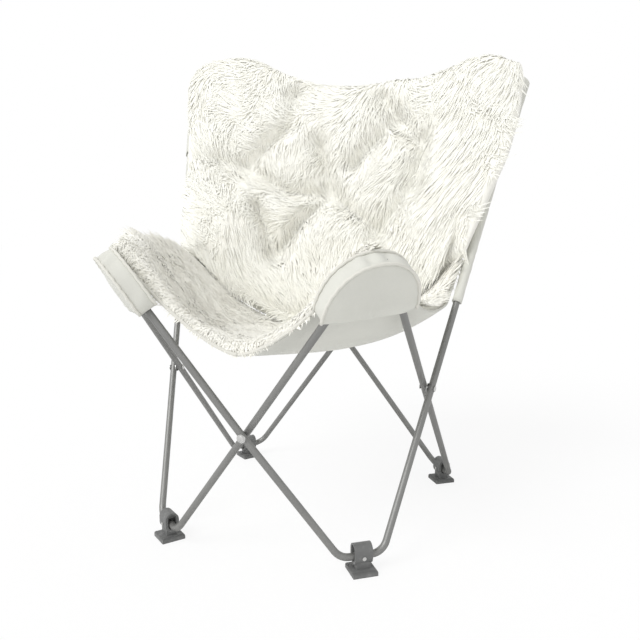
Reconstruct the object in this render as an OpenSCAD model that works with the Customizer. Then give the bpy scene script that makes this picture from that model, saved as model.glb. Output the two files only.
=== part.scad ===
// Folding butterfly chair: a frame of eight bent tubes that cross in four pairs,
// four moulded feet, four moulded tips, and a padded canvas sling hung from the tips.
// Units are millimetres. Z is up, the sitter faces -Y, and the chair stands on Z = 0.

/* [Tubes] */
// Outer diameter of every frame tube
tube_d = 12; // [11:0.25:12.5]
// Wall of every frame tube
tube_wall = 1.2; // [0.8:0.1:2]
// Radius of the bend just above a foot, on the tube's centre line
bend_r = 30; // [24:1:34]
// Gap between two tubes where they cross
cross_gap = 1.6; // [1.2:0.1:2.4]

/* [Stance] */
// Half the width between the points where the front feet's tubes would meet
front_half = 197; // [185:1:210]
// Distance of those points in front of the middle
front_reach = 189; // [177:1:202]
// Half the width between the points where the back feet's tubes would meet
back_half = 260; // [248:1:272]
// Distance of those points behind the middle
back_reach = 295; // [283:1:308]
// Depth below the floor at which the straight tubes of a foot would meet
meet_drop = 34; // [30:1:38]

/* [Tips] */
// Half the width between the front tips
wing_half = 234; // [222:1:246]
// Distance of the front tips in front of the middle
wing_reach = 280; // [267:1:292]
// Height of the front tips
wing_rise = 534; // [520:1:548]
// Half the width between the back tips
top_half = 363; // [350:1:376]
// Distance of the back tips behind the middle
top_reach = 262; // [251:1:273]
// Height of the back tips
top_rise = 800; // [785:1:815]

/* [Feet] */
// Side of the square base plate
plate_w = 42; // [40:0.5:44]
// Thickness of the base plate
plate_t = 9; // [7:0.5:10]
// Width of the bevel round the plate's upper edge
plate_bevel = 3; // [2:0.5:4]
// Height of the tube ends' centres above the floor
end_rise = 28; // [27:0.25:29]
// Height of the whole foot
foot_h = 50; // [49:0.5:54]
// Length of the barrel along the line of its two mouths
barrel_l = 30; // [28:0.5:31]
// Width of the barrel across that line
barrel_w = 25; // [24:0.5:27]
// Diameter of the ball on each tube's lower end
ball_d = 14.2; // [13.8:0.1:14.4]
// Distance from the foot's middle to each ball's centre
ball_reach = 9.5; // [9.4:0.05:10]
// Diameter of the pin between the two balls
foot_pin_d = 3.6; // [3:0.1:3.8]

/* [Rivets] */
// Diameter of the rivet through each crossing
rivet_d = 6; // [5:0.25:6.5]
// Diameter of a rivet's head
rivet_head_d = 11; // [9:0.5:12]
// Thickness of a rivet's head
rivet_head_t = 2; // [1.5:0.1:3]
// Diameter of the washer between two tubes
washer_d = 15; // [13:0.5:18]

/* [Tip caps] */
// Thickness of a tip cap
cap_t = 24; // [24:0.25:26]
// Half the width of a front cap at its foot
front_cap_half = 43.5; // [43:0.5:46]
// Distance from the meeting point of the tubes down to a front cap's top
front_cap_top = 30.5; // [29:0.25:31]
// Height of a front cap
front_cap_h = 35.5; // [34:0.5:38]
// Distance from a front tip down its loose tube to the pin
front_pin_back = 46; // [45.5:0.1:46.5]
// Distance from a back tip down its loose tube to the pin
back_pin_back = 38; // [37.5:0.1:38.5]
// Diameter of the pin in the loose tube
tip_pin_d = 5; // [4:0.25:5.5]
// Length by which a back cap's own tube runs on past the meeting point
back_run_on = 50; // [45:1:55]

/* [Cover] */
// Thickness of the canvas
canvas_t = 2.2; // [1.6:0.2:3]
// Thickness of the seat pad
seat_pad_t = 20; // [14:1:24]
// Thickness of the back pad between its tufts
back_pad_t = 46; // [36:1:50]
// Depth to which a tuft draws the back pad in
tuft_depth = 30; // [20:1:32]
// Width of the hollow round a tuft
tuft_w = 62; // [50:1:75]
// Length of a front pocket down the tubes
pocket_l = 92; // [86:1:98]
// Diameter of the piping on the seat's front edge
piping_d = 6; // [5:0.5:8]

/* [Hidden] */
$fn = 48;

run_gap = 0.05;          // running clearance of a pin or rivet, on the radius
joint_bulge = 0.12;      // swelling of a tube at its bend and where its straights meet
bend_lap = 1;            // run of a straight into its bend
seat_gap = 0.3;          // clearance between pieces that lie on each other
cut = 1;                 // overrun of a cut past a face
tube_r = tube_d / 2;
bore_r = tube_r - tube_wall;
half_pitch = (tube_d + cross_gap) / 2;
frame_grey = [0.56, 0.57, 0.56];
foot_grey = [0.50, 0.51, 0.50];
steel = [0.78, 0.78, 0.77];
canvas_white = [0.88, 0.88, 0.86];
fur_white = [0.97, 0.96, 0.93];

// Directions and frames
up = [0, 0, 1];
function unit(v) = v / norm(v);
function mix(a, b, t) = a + (b - a) * t;
function frame(o, x, y, z) = [[x[0], y[0], z[0], o[0]], [x[1], y[1], z[1], o[1]],
                              [x[2], y[2], z[2], o[2]], [0, 0, 0, 1]];
function any_across(v) = unit(cross(v, abs(v[2]) < 0.9 ? up : [1, 0, 0]));
module along(from, dir) {
    z = unit(dir);
    x = any_across(z);
    multmatrix(frame(from, x, cross(z, x), z)) children();
}

// Where the straight tubes would meet: side is 1 on the right and -1 on the left,
// back is 1 behind and 0 in front
function meet(side, back) = back == 1 ? [side * back_half, back_reach, -meet_drop]
                                      : [side * front_half, -front_reach, -meet_drop];
function tip(side, back) = back == 1 ? [side * top_half, top_reach, top_rise]
                                     : [side * wing_half, -wing_reach, wing_rise];

// A tube is [side of its foot, back of its foot, across]. A tube with across = 1 runs
// to the other side's tip of the same end, the others to the same side's other end.
function low_end(t) = meet(t[0], t[1]);
function high_end(t) = t[2] == 1 ? tip(-t[0], t[1]) : tip(t[0], 1 - t[1]);
function partner(t) = t[2] == 1 ? [-t[0], t[1], 1] : [t[0], 1 - t[1], 0];
function is_outer(t) = t[2] == 1 ? (t[1] == 1 ? t[0] < 0 : t[0] > 0) : t[1] == 0;
function away(t) = t[2] == 1 ? [0, t[1] == 1 ? 1 : -1, 0] : [t[0], 0, 0];

// Middle and outward axis of the crossing of a tube with its partner
function near_share(a, u, c, v) = (dot(u, v) * dot(v, a - c) - dot(v, v) * dot(u, a - c))
                                / (dot(u, u) * dot(v, v) - pow(dot(u, v), 2));
function dot(a, b) = a * b;
function run(t) = high_end(t) - low_end(t);
function near_point(t) = low_end(t)
    + run(t) * near_share(low_end(t), run(t), low_end(partner(t)), run(partner(t)));
function cross_mid(t) = (near_point(t) + near_point(partner(t))) / 2;
function cross_axis(t) = let (n = unit(cross(run(t), run(partner(t)))))
    n * (dot(n, away(t)) > 0 ? 1 : -1);
function cross_point(t) = cross_mid(t) + cross_axis(t) * half_pitch * (is_outer(t) ? 1 : -1);

// Lower ends: a tube turns level at its corner and runs to its ball in the foot
function corner(t) = mix(low_end(t), high_end(t), (end_rise + meet_drop) / run(t)[2]);
function foot_mid(s, b) = (corner([s, b, 0]) + corner([s, b, 1])) / 2;
function foot_dir(s, b) = unit(corner([s, b, 0]) - corner([s, b, 1]));
function ball_mid(t) = foot_mid(t[0], t[1])
    + foot_dir(t[0], t[1]) * ball_reach * (t[2] == 1 ? -1 : 1);

// Tips: the cap sits on the side tube, and the across tube is pinned in it
function cap_tube(s, b) = [s, 1 - b, 0];
function loose_tube(s, b) = [-s, b, 1];
function tip_down(s, b, t) = unit(cross_point(t) - tip(s, b));
function cap_a(s, b) = tip_down(s, b, cap_tube(s, b));
function cap_b(s, b) = tip_down(s, b, loose_tube(s, b));
function cap_z(s, b) = unit(cross(cap_a(s, b), cap_b(s, b)));
function cap_x(s, b) = unit(cap_a(s, b) + cap_b(s, b));
function cap_frame(s, b) = frame(tip(s, b), cap_x(s, b), cross(cap_z(s, b), cap_x(s, b)), cap_z(s, b));
function half_vee(s, b) = acos(dot(cap_a(s, b), cap_b(s, b))) / 2;
function pin_back(b) = b == 1 ? back_pin_back : front_pin_back;

// A tube's loose end stops just past its pin. A cap's own tube stops as far up
// in a front cap, and runs on past the meeting point in a back cap.
pin_end = tip_pin_d / 2 + tube_wall + seat_gap;
function tube_top(t) = let (d = unit(high_end(t) - cross_point(t)))
    t[2] == 1 ? high_end(t) - d * (pin_back(t[1]) - pin_end)
  : t[1] == 1 ? high_end(t) - d * (front_pin_back - pin_end)
  : high_end(t) + d * back_run_on;

// The outside of a tube: a level end from its ball, a bend, and two straights that
// meet at the crossing. The bore runs down the straights as far as the bend.
module tube_path(t, r) {
    ball = ball_mid(t);
    bend = corner(t);
    mid = cross_point(t);
    end = tube_top(t);
    d0 = unit(bend - ball);
    d1 = unit(mid - bend);
    turn = acos(dot(d0, d1));
    lead = bend_r * tan(turn / 2);
    inward = unit(d1 - d0 * dot(d0, d1));
    bend_start = bend - d0 * lead;
    bend_end = bend + d1 * lead;
    along(ball, d0) cylinder(r = r, h = norm(bend_start - ball) + bend_lap);
    multmatrix(frame(bend_start + inward * bend_r, d0, -inward, cross(d0, -inward)))
        rotate([0, 0, 90 - turn]) rotate_extrude(angle = turn) translate([bend_r, 0])
            circle(r + joint_bulge);
    along(bend_end - d1 * bend_lap, d1) cylinder(r = r, h = norm(mid - bend_end) + bend_lap);
    along(mid, end - mid) sphere(r + joint_bulge);
    along(mid, end - mid) cylinder(r = r, h = norm(end - mid));
}
module tube_bore(t) {
    mid = cross_point(t);
    end = tube_top(t);
    turn = acos(dot(unit(corner(t) - ball_mid(t)), unit(mid - corner(t))));
    from = corner(t) + unit(mid - corner(t)) * bend_r * tan(turn / 2);
    along(from, mid - from) cylinder(r = bore_r, h = norm(mid - from));
    along(mid, end - mid) sphere(bore_r + joint_bulge);
    along(mid, end - mid) cylinder(r = bore_r, h = norm(end - mid) + cut);
}
module tube(t) {
    color(frame_grey) difference() {
        union() {
            tube_path(t, tube_r);
            along(ball_mid(t), ball_mid(t) - corner(t)) sphere(ball_d / 2);
        }
        tube_bore(t);
        along(cross_mid(t) - cross_axis(t) * tube_d * 2, cross_axis(t))
            cylinder(r = rivet_d / 2 + run_gap, h = tube_d * 4);
        if (t[2] == 1) multmatrix(cap_frame(-t[0], t[1]))
            translate(loose_pin(-t[0], t[1]))
                cylinder(r = tip_pin_d / 2 + run_gap, h = tube_d * 2, center = true);
    }
}
function loose_pin(s, b) = let (h = half_vee(s, b)) [cos(h), sin(h), 0] * pin_back(b);

// Feet
neck_l = barrel_l - plate_bevel * 2;
neck_w = barrel_w - plate_bevel * 2;
barrel_z = end_rise - barrel_w / 2;
pocket_r = ball_d / 2 + seat_gap * 2 / 3;
lip_w = tube_r + ball_d * 0.055;
mouth_w = barrel_l / 2 - ball_reach + lip_w / 3;
mouth_low = end_rise - ball_d / 2 - seat_gap;
mouth_high = foot_h - plate_bevel;
module foot_at(s, b) {
    m = foot_mid(s, b);
    d = foot_dir(s, b);
    multmatrix(frame([m[0], m[1], 0], d, cross(up, d), up)) children();
}
module stadium_bar(r, low, high, l) {
    translate([-l / 2, 0, 0]) rotate([90, 0, 90]) linear_extrude(l) union() {
        translate([0, low + r]) circle(r);
        translate([0, high - r]) circle(r);
        translate([-r, low + r]) square([r * 2, high - low - r * 2]);
    }
}
module foot(s, b) {
    color(foot_grey) foot_at(s, b) difference() {
        union() {
            linear_extrude(plate_t - plate_bevel) square(plate_w, center = true);
            for (i = [1:bevel_steps]) translate([0, 0, plate_t - plate_bevel])
                linear_extrude(plate_bevel * sin(90 * i / bevel_steps))
                    square(plate_w - plate_bevel * 2 * (1 - cos(90 * i / bevel_steps)), center = true);
            translate([0, 0, cut]) linear_extrude(end_rise - cut) square([neck_l, neck_w], center = true);
            stadium_bar(barrel_w / 2, barrel_z, foot_h, barrel_l);
        }
        for (e = [1, -1]) translate([e * ball_reach, 0, 0]) {
            translate([0, 0, mouth_low]) cylinder(r = pocket_r, h = mouth_high - pocket_r - mouth_low);
            scale([e, 1, 1]) intersection() {
                translate([0, 0, mouth_low]) linear_extrude(mouth_high - mouth_low)
                    polygon([[0, -lip_w], [barrel_l / 2 - ball_reach + cut, -mouth_w],
                             [barrel_l / 2 - ball_reach + cut, mouth_w], [0, lip_w]]);
                stadium_bar(pocket_r + cross_gap / 2, mouth_low, mouth_high, barrel_l);
            }
        }
        translate([0, 0, end_rise]) rotate([90, 0, 0])
            cylinder(r = foot_pin_d / 2 + run_gap, h = barrel_w + cut * 2, center = true);
    }
}
bevel_steps = 3;
foot_pin_head_d = foot_pin_d * 1.8;
foot_pin_head_t = foot_pin_d * 0.4;
module foot_pin(s, b) {
    outward = (b == 1) == (s > 0) ? -1 : 1;
    color(steel) foot_at(s, b) translate([0, 0, end_rise]) rotate([90 * outward, 0, 0]) union() {
        cylinder(d = foot_pin_d, h = barrel_w + foot_pin_d / 2, center = true);
        for (e = [1, -1]) scale([1, 1, e]) translate([0, 0, barrel_w / 2 + run_gap])
            cylinder(d = foot_pin_head_d, h = foot_pin_head_t);
    }
}

// Rivets and washers at the four crossings
head_at = half_pitch + tube_r + joint_bulge + run_gap;
module at_crossing(t) {
    along(cross_mid(t), cross_axis(t)) children();
}
module rivet_head(d, at) {
    translate([0, 0, at]) intersection() {
        cylinder(d = d, h = rivet_head_t);
        translate([0, 0, rivet_head_t - d]) sphere(d);
    }
}
module rivet(t) {
    color(steel) at_crossing(t) {
        translate([0, 0, -head_at - rivet_head_t / 2]) cylinder(d = rivet_d, h = head_at * 2 + rivet_head_t);
        rivet_head(rivet_head_d, head_at);
        mirror(up) rivet_head(rivet_head_d, head_at);
    }
}
// The front rivet comes in two halves that part when the frame is folded, each
// fixed in its own tube. The outer half holds the washer under its head.
module half_rivet(t, side) {
    at = side > 0 ? front_head_at : head_at;
    color(steel) at_crossing(t) scale([1, 1, side]) {
        translate([0, 0, cross_gap / 2])
            cylinder(d = rivet_d, h = at - cross_gap / 2 + rivet_head_t / 2);
        rivet_head(rivet_head_d, at);
    }
}
washer_t = cross_gap - (joint_bulge + run_gap) * 2;
front_head_at = head_at + washer_t + run_gap;
module washer(t, at) {
    color(steel) at_crossing(t) translate([0, 0, at]) difference() {
        cylinder(d = washer_d, h = washer_t, center = true);
        cylinder(r = rivet_d / 2 + run_gap, h = washer_t + cut * 2, center = true);
    }
}

// Tip caps, each in its own frame: x runs down the middle of the vee, y towards
// the loose tube, z across the vee
function dome(top, half, h, power, grow, n) = [for (i = [0:n]) let (a = 180 * i / n - 90)
    [top + h - (h + grow) * pow(abs(cos(a)), 2 / power),
     (half + grow) * sign(sin(a)) * pow(abs(sin(a)), 2 / power)]];
// Points of a rounded outline: the corners p in turn, each rounded to r
function turned(v) = [v[1], -v[0]];
function rounded(p, r, n) = [for (i = [0:len(p) - 1])
    let (a = p[(i + len(p) - 1) % len(p)], b = p[i], c = p[(i + 1) % len(p)],
         n0 = turned(unit(b - a)), n1 = turned(unit(c - b)),
         a0 = atan2(n0[1], n0[0]), span = (atan2(n1[1], n1[0]) - a0 + 720) % 360)
    for (k = [0:n]) b + r * [cos(a0 + span * k / n), sin(a0 + span * k / n)]];
dome_power = 2.45;
cheek = 3.3;
chamber_t = cap_t - cheek * 2;
front_cap_foot = front_cap_top + front_cap_h;
side_play = [0.8, 7.5];      // room beside the loose tube in a front and a back cap
foot_play = [0.6, 2.2];      // the same at the cap's foot
top_play = [4.2, 4.5];       // room above the loose tube's end
low_y = [8.6, 3.2];          // height of the chamber's low side over the vee's middle
low_slope = [0.13, 0.08];
pin_move = [[1.8, -2.3, 0], [-0.5, 1.7, 0]];   // middle of a loose pin's way in its cap
pin_play = 5.6;              // reach of that way on each side
recess_r = tip_pin_d / 2 + pin_play;
recess_depth = 2.2;
module cap_body(s, b) {
    if (b == 0) linear_extrude(cap_t, center = true) polygon(dome(front_cap_top, front_cap_half,
        front_cap_h, dome_power, 0, 40));
    else linear_extrude(cap_t, center = true) polygon(rounded(back_cap_corners(s), back_cap_r, 10));
}
back_cap_r = tube_r + 2.6;
back_cap_foot = back_pin_back + tube_d * 2;
function line_at(h, x, off) = [x, x * tan(h) + off / cos(h)];
function back_cap_corners(s) = let (h = half_vee(s, 1),
        top = [-cos(h), sin(h)] * (back_run_on - tube_r / 2))
    [top, [back_cap_foot - back_cap_r, -line_at(h, back_cap_foot - back_cap_r, 0)[1]],
     line_at(h, back_cap_foot - back_cap_r, side_play[1])];
module chamber(s, b) {
    h = half_vee(s, b);
    top = pin_back(b) * cos(h) - pin_end - top_play[b];
    foot = (b == 1 ? back_cap_foot : front_cap_foot) + cut;
    linear_extrude(chamber_t, center = true)
        polygon([[top, low_y[b]], [foot, low_y[b] - (foot - top) * low_slope[b]],
                 line_at(h, foot, tube_r + foot_play[b]), line_at(h, top, tube_r + side_play[b])]);
}
module recess(s, b) {
    translate(loose_pin(s, b) + pin_move[b]) cylinder(r = recess_r, h = chamber_t + recess_depth * 2, center = true);
}
module cap(s, b) {
    h = half_vee(s, b);
    color(foot_grey) multmatrix(cap_frame(s, b)) difference() {
        cap_body(s, b);
        if (b == 0) along([cos(h), -sin(h), 0] * (front_pin_back - pin_end), [cos(h), -sin(h), 0])
            cylinder(r = tube_r + run_gap, h = tube_d * 6);
        else along([-cos(h), sin(h), 0] * back_run_on, [cos(h), -sin(h), 0])
            cylinder(r = tube_r + run_gap, h = tube_d * 16);
        chamber(s, b);
        recess(s, b);
    }
}
tip_pin_l = chamber_t + cut;
module tip_pin(s, b) {
    color(steel) multmatrix(cap_frame(s, b)) translate(loose_pin(s, b))
        cylinder(d = tip_pin_d, h = tip_pin_l, center = true);
}

// Canvas pockets over the tips, open below
pocket_half = front_cap_half * 1.76;
pocket_gap = seat_gap + 0.4;
pocket_t = cap_t + (pocket_gap + canvas_t) * 2;
sleeve_r = tube_r + pocket_gap;
pocket_power = 2.1;
module pocket_shape(s, b, grow, extra) {
    if (b == 0) {
        polygon(dome(front_cap_top - pocket_gap, pocket_half, pocket_l, pocket_power, grow, 40));
        if (extra > 0) translate([front_cap_top + pocket_l - cut, -pocket_half])
            square([extra, pocket_half * 2]);
    }
    else polygon(rounded(back_pocket_corners(s, extra), back_cap_r + pocket_gap + grow, 10));
}
back_pocket_l = back_cap_foot + tube_d * 2;
function back_pocket_corners(s, extra) = let (h = half_vee(s, 1), c = back_cap_corners(s),
        low = back_pocket_l + extra)
    [c[0], [low, -line_at(h, low, 0)[1]], line_at(h, low, side_play[1])];
module pocket(s, b) {
    h = half_vee(s, b);
    a = [cos(h), -sin(h), 0];
    color(canvas_white) multmatrix(cap_frame(s, b)) difference() {
        union() {
            difference() {
                linear_extrude(pocket_t, center = true) pocket_shape(s, b, canvas_t, 0);
                linear_extrude(pocket_t - canvas_t * 2, center = true) pocket_shape(s, b, 0, cut * 30);
            }
            if (b == 1) along(a * sleeve_at, a) {
                cylinder(r = sleeve_r + canvas_t, h = sleeve_l);
                cylinder(r = pocket_t / 2, h = canvas_t);
            }
        }
        if (b == 1) along(-a * back_run_on, a) cylinder(r = sleeve_r, h = back_run_on + sleeve_l * 2);
    }
}
sleeve_at = back_pocket_l - tube_d;
sleeve_l = 246;

// The sling's surface. A station across it runs from the middle line to the side edge.
// Rows of shares: middle y, middle z, edge x, edge y, edge z, and the power of the curve
// between them. Shares of y run from the front tips to the back tips. Those of x and z
// are of a half width and a height that pass from the front tips' to the back tips'.
station_shares = [
    [0.061, 0.670, 0.926, 0.035, 0.981, 1.55],
    [0.120, 0.628, 0.948, 0.125, 0.885, 1.70],
    [0.190, 0.590, 0.918, 0.179, 0.794, 1.90],
    [0.340, 0.549, 0.956, 0.330, 0.688, 2.20],
    [0.510, 0.512, 0.963, 0.500, 0.652, 2.40],
    [0.660, 0.483, 0.927, 0.620, 0.654, 2.40],
    [0.800, 0.484, 0.942, 0.672, 0.721, 2.20],
    [0.866, 0.622, 0.970, 0.767, 0.826, 1.90],
    [0.912, 0.782, 0.995, 0.863, 0.931, 1.80],
    [0.950, 0.931, 1.006, 0.949, 1.040, 2.20],
    [0.985, 1.062, 0.985, 0.990, 1.128, 2.60]];
crease = 6;
top_row = len(station_shares) - 1;
function spline(a, b, c, d, t) = b + t * ((c - a) / 2 + t * (a - 2.5 * b + 2 * c - d / 2
    + t * ((3 * b - a - 3 * c + d) / 2)));
function station(v) = let (i = min(top_row - 1, max(0, floor(v))), t = v - i, s = station_shares)
    spline(s[max(0, i - 1)], s[i], s[i + 1], s[min(top_row, i + 2)], t);
function sling_y(share) = mix(-wing_reach, top_reach, share);
function sling(u, v) = let (s = station(v), k = pow(abs(u), s[5]))
    [u * s[2] * mix(wing_half, top_half, v / top_row), sling_y(mix(s[0], s[3], k)),
     mix(wing_rise, top_rise, v / top_row) * mix(s[1], s[4], k)];
probe = 0.02;
function sling_normal(u, v) = let (a = sling(u + probe, v) - sling(u - probe, v),
        b = sling(u, v + probe) - sling(u, v - probe)) unit(cross(a, b));
function lifted(u, v, h) = sling(u, v) + sling_normal(u, v) * h;

// A closed sheet over a grid: lower and upper are its points row by row
module sheet(lower, upper, rows, cols) {
    function at(i, j) = i * (cols + 1) + j;
    all = (rows + 1) * (cols + 1);
    points = concat([for (r = lower) for (p = r) p], [for (r = upper) for (p = r) p]);
    faces = concat(
        [for (i = [0:rows - 1]) for (j = [0:cols - 1]) each
            [[at(i, j), at(i, j + 1), at(i + 1, j + 1)], [at(i, j), at(i + 1, j + 1), at(i + 1, j)],
             [all + at(i, j), all + at(i + 1, j + 1), all + at(i, j + 1)],
             [all + at(i, j), all + at(i + 1, j), all + at(i + 1, j + 1)]]],
        [for (i = [0:rows - 1]) each
            [[at(i, 0), at(i + 1, 0), all + at(i + 1, 0)], [at(i, 0), all + at(i + 1, 0), all + at(i, 0)],
             [at(i + 1, cols), at(i, cols), all + at(i, cols)],
             [at(i + 1, cols), all + at(i, cols), all + at(i + 1, cols)]]],
        [for (j = [0:cols - 1]) each
            [[at(0, j + 1), at(0, j), all + at(0, j)], [at(0, j + 1), all + at(0, j), all + at(0, j + 1)],
             [at(rows, j), at(rows, j + 1), all + at(rows, j + 1)],
             [at(rows, j), all + at(rows, j + 1), all + at(rows, j)]]]);
    polyhedron(points, faces);
}
function grid(u0, u1, v0, v1, rows, cols, h) = [for (i = [0:rows]) [for (j = [0:cols])
    let (u = mix(u0, u1, j / cols), v = mix(v0, v1, i / rows)) lifted(u, v, h)]];
seam_share = 0.0006;
crease_share = 0.06;
module canvas(u0, u1, v0, v1, rows, cols) {
    color(canvas_white) sheet(grid(u0, u1, v0, v1, rows, cols, 0),
        grid(u0, u1, v0, v1, rows, cols, canvas_t), rows, cols);
}

// Pads: a crown that runs out at the edges, less the hollows of the tufts
function crown(t, power) = pow(max(0, 1 - pow(abs(2 * t - 1), power)), 0.5);
pad_base = canvas_t + seat_gap;
pad_edge = 3;
seat_u_power = 9;
seat_v_power = 7;
function seat_height(u, v) = pad_base + pad_edge + (seat_pad_t - pad_edge)
    * pow(max(0, 1 - pow(abs(u), seat_u_power)), 0.5) * crown(v / crease, seat_v_power);
// Tufts as shares: across the back, and up it from the crease to the top
tuft_shares = [[-0.27, 0.93], [0.37, 0.80], [-0.58, 0.60], [-0.01, 0.54], [0.49, 0.55],
               [0.31, 0.36], [-0.33, 0.28]];
function back_v(share) = mix(crease + crease_share, top_row, share);
function tuft_pull(u, w) = let (p = sling(u, back_v(w)))
    max([for (t = tuft_shares) exp(-pow(norm(p - sling(t[0], back_v(t[1]))) / (tuft_w / 2), 2))]);
back_u_power = 8;
back_v_power = 8;
function back_height(u, w) = pad_base + pad_edge + (back_pad_t - pad_edge)
    * pow(max(0, 1 - pow(abs(u), back_u_power)), 0.5) * crown(w, back_v_power)
    - min(1, crown(w, back_v_power) * 1.2) * tuft_depth * tuft_pull(u, w);
pad_inset = 0.012;
module seat_pad(side) {
    rows = 16;
    cols = 11;
    u0 = side * seam_share;
    u1 = side * (1 - pad_inset);
    v1 = crease - crease_share;
    color(fur_white) sheet(grid(min(u0, u1), max(u0, u1), 0, v1, rows, cols, pad_base + seat_gap),
        [for (i = [0:rows]) [for (j = [0:cols]) let (u = mix(min(u0, u1), max(u0, u1), j / cols),
            v = mix(0, v1, i / rows)) lifted(u, v, seat_height(u, v))]], rows, cols);
}
module back_pad() {
    rows = 22;
    cols = 26;
    u1 = 1 - pad_inset;
    color(fur_white) sheet(grid(-u1, u1, crease + crease_share, top_row, rows, cols, pad_base),
        [for (i = [0:rows]) [for (j = [0:cols]) let (u = mix(-u1, u1, j / cols), w = i / rows)
            lifted(u, back_v(w), back_height(u, w))]], rows, cols);
}

// Piping along the front edge, in front of the canvas
module piping(side) {
    steps = 14;
    u1 = 0.71;
    path = [for (i = [0:steps]) let (u = side * mix(seam_share * 6, u1, i / steps), p = sling(u, 0),
        out = unit(sling(u, 0) - sling(u, probe)))
        p + out * (piping_d / 2 + seat_gap) + sling_normal(u, 0) * canvas_t / 2];
    color(canvas_white) tube_along(path, piping_d / 2, 8);
}
module tube_along(path, r, sides) {
    last = len(path) - 1;
    rings = [for (i = [0:last]) let (d = unit(path[min(last, i + 1)] - path[max(0, i - 1)]),
        x = unit(cross(d, [0, 1, 0])), y = cross(d, x))
        for (k = [0:sides - 1]) path[i] + r * (x * cos(360 * k / sides) + y * sin(360 * k / sides))];
    sides_of = [for (i = [0:last - 1]) for (k = [0:sides - 1]) let (n = (k + 1) % sides) each
        [[i * sides + k, (i + 1) * sides + k, (i + 1) * sides + n],
         [i * sides + k, (i + 1) * sides + n, i * sides + n]]];
    ends = [for (k = [1:sides - 2]) each [[0, k, k + 1],
        [last * sides, last * sides + k + 1, last * sides + k]]];
    polyhedron(rings, concat(sides_of, ends));
}

foot(1, 0);  // foot_front_right
foot(-1, 0);  // foot_front_left
foot(1, 1);  // foot_back_right
foot(-1, 1);  // foot_back_left
foot_pin(1, 0);  // foot_pin_front_right
foot_pin(-1, 0);  // foot_pin_front_left
foot_pin(1, 1);  // foot_pin_back_right
foot_pin(-1, 1);  // foot_pin_back_left
tube([1, 0, 1]);  // tube_front_right_across
tube([-1, 0, 1]);  // tube_front_left_across
tube([1, 1, 1]);  // tube_back_right_across
tube([-1, 1, 1]);  // tube_back_left_across
tube([1, 0, 0]);  // tube_front_right_side
tube([-1, 0, 0]);  // tube_front_left_side
tube([1, 1, 0]);  // tube_back_right_side
tube([-1, 1, 0]);  // tube_back_left_side
half_rivet([1, 0, 1], 1);  // rivet_front_outer
half_rivet([1, 0, 1], -1);  // rivet_front_inner
rivet([1, 1, 1]);  // rivet_back
rivet([1, 0, 0]);  // rivet_right
rivet([-1, 0, 0]);  // rivet_left
washer([1, 0, 1], head_at + washer_t / 2);  // washer_front
washer([1, 1, 1], 0);  // washer_back
washer([1, 0, 0], 0);  // washer_right
washer([-1, 0, 0], 0);  // washer_left
cap(1, 0);  // cap_front_right
cap(-1, 0);  // cap_front_left
cap(1, 1);  // cap_back_right
cap(-1, 1);  // cap_back_left
tip_pin(1, 0);  // tip_pin_front_right
tip_pin(-1, 0);  // tip_pin_front_left
tip_pin(1, 1);  // tip_pin_back_right
tip_pin(-1, 1);  // tip_pin_back_left
pocket(1, 0);  // pocket_front_right
pocket(-1, 0);  // pocket_front_left
pocket(1, 1);  // pocket_back_right
pocket(-1, 1);  // pocket_back_left
canvas(seam_share, 1, 0, crease - crease_share, 16, 11);  // seat_canvas_right
canvas(-1, -seam_share, 0, crease - crease_share, 16, 11);  // seat_canvas_left
canvas(-1, 1, crease + crease_share, top_row, 22, 26);  // back_canvas
seat_pad(1);  // seat_pad_right
seat_pad(-1);  // seat_pad_left
back_pad();
piping(1);  // piping_right
piping(-1);  // piping_left
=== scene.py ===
# %% [markdown]
# # A folding butterfly chair, dressed
# The frame of this chair is eight bent steel tubes in four moulded feet, and the packed
# model already holds them at their real size. This lesson gives that frame its finish and
# makes the soft part that the plain solids only stand for: a canvas sling with a short
# pile on the seat, and a thick, tufted, long-haired pad on the back.

# %% load the frame
from math import cos, pi, radians, sin

import bpy
import numpy as np
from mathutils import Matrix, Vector, noise


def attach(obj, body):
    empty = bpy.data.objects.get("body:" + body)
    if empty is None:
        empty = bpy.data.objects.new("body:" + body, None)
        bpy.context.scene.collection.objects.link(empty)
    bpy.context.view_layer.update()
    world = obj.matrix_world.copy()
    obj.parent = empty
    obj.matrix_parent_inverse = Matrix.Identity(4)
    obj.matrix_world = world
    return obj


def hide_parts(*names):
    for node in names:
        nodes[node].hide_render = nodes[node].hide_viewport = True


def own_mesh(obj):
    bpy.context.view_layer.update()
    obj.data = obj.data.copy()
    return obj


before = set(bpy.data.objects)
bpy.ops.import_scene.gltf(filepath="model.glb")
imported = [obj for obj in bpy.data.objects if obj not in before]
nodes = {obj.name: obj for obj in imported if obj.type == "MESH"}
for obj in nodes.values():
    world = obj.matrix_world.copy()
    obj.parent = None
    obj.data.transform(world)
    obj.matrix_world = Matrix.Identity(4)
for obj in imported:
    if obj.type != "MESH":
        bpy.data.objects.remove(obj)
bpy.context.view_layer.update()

# %% [markdown]
# ## Shader sums written as sums
# A material is a net of nodes, and a net is hard to read as code. A small class wraps one
# socket and overloads the operators, so that `1 - mask * 0.4` adds its Math nodes by
# itself. Every other kind of node comes from one method of the finish.

# %% a socket that can be added and multiplied
class Value:
    def __init__(self, finish, socket):
        self.finish, self.socket = finish, socket

    def sum_with(self, operation, a, b):
        return self.finish.node("ShaderNodeMath", {0: a, 1: b}, operation=operation)

    def __add__(self, other): return self.sum_with("ADD", self, other)
    def __radd__(self, other): return self.sum_with("ADD", other, self)
    def __sub__(self, other): return self.sum_with("SUBTRACT", self, other)
    def __rsub__(self, other): return self.sum_with("SUBTRACT", other, self)
    def __mul__(self, other): return self.sum_with("MULTIPLY", self, other)
    def __rmul__(self, other): return self.sum_with("MULTIPLY", other, self)


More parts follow.
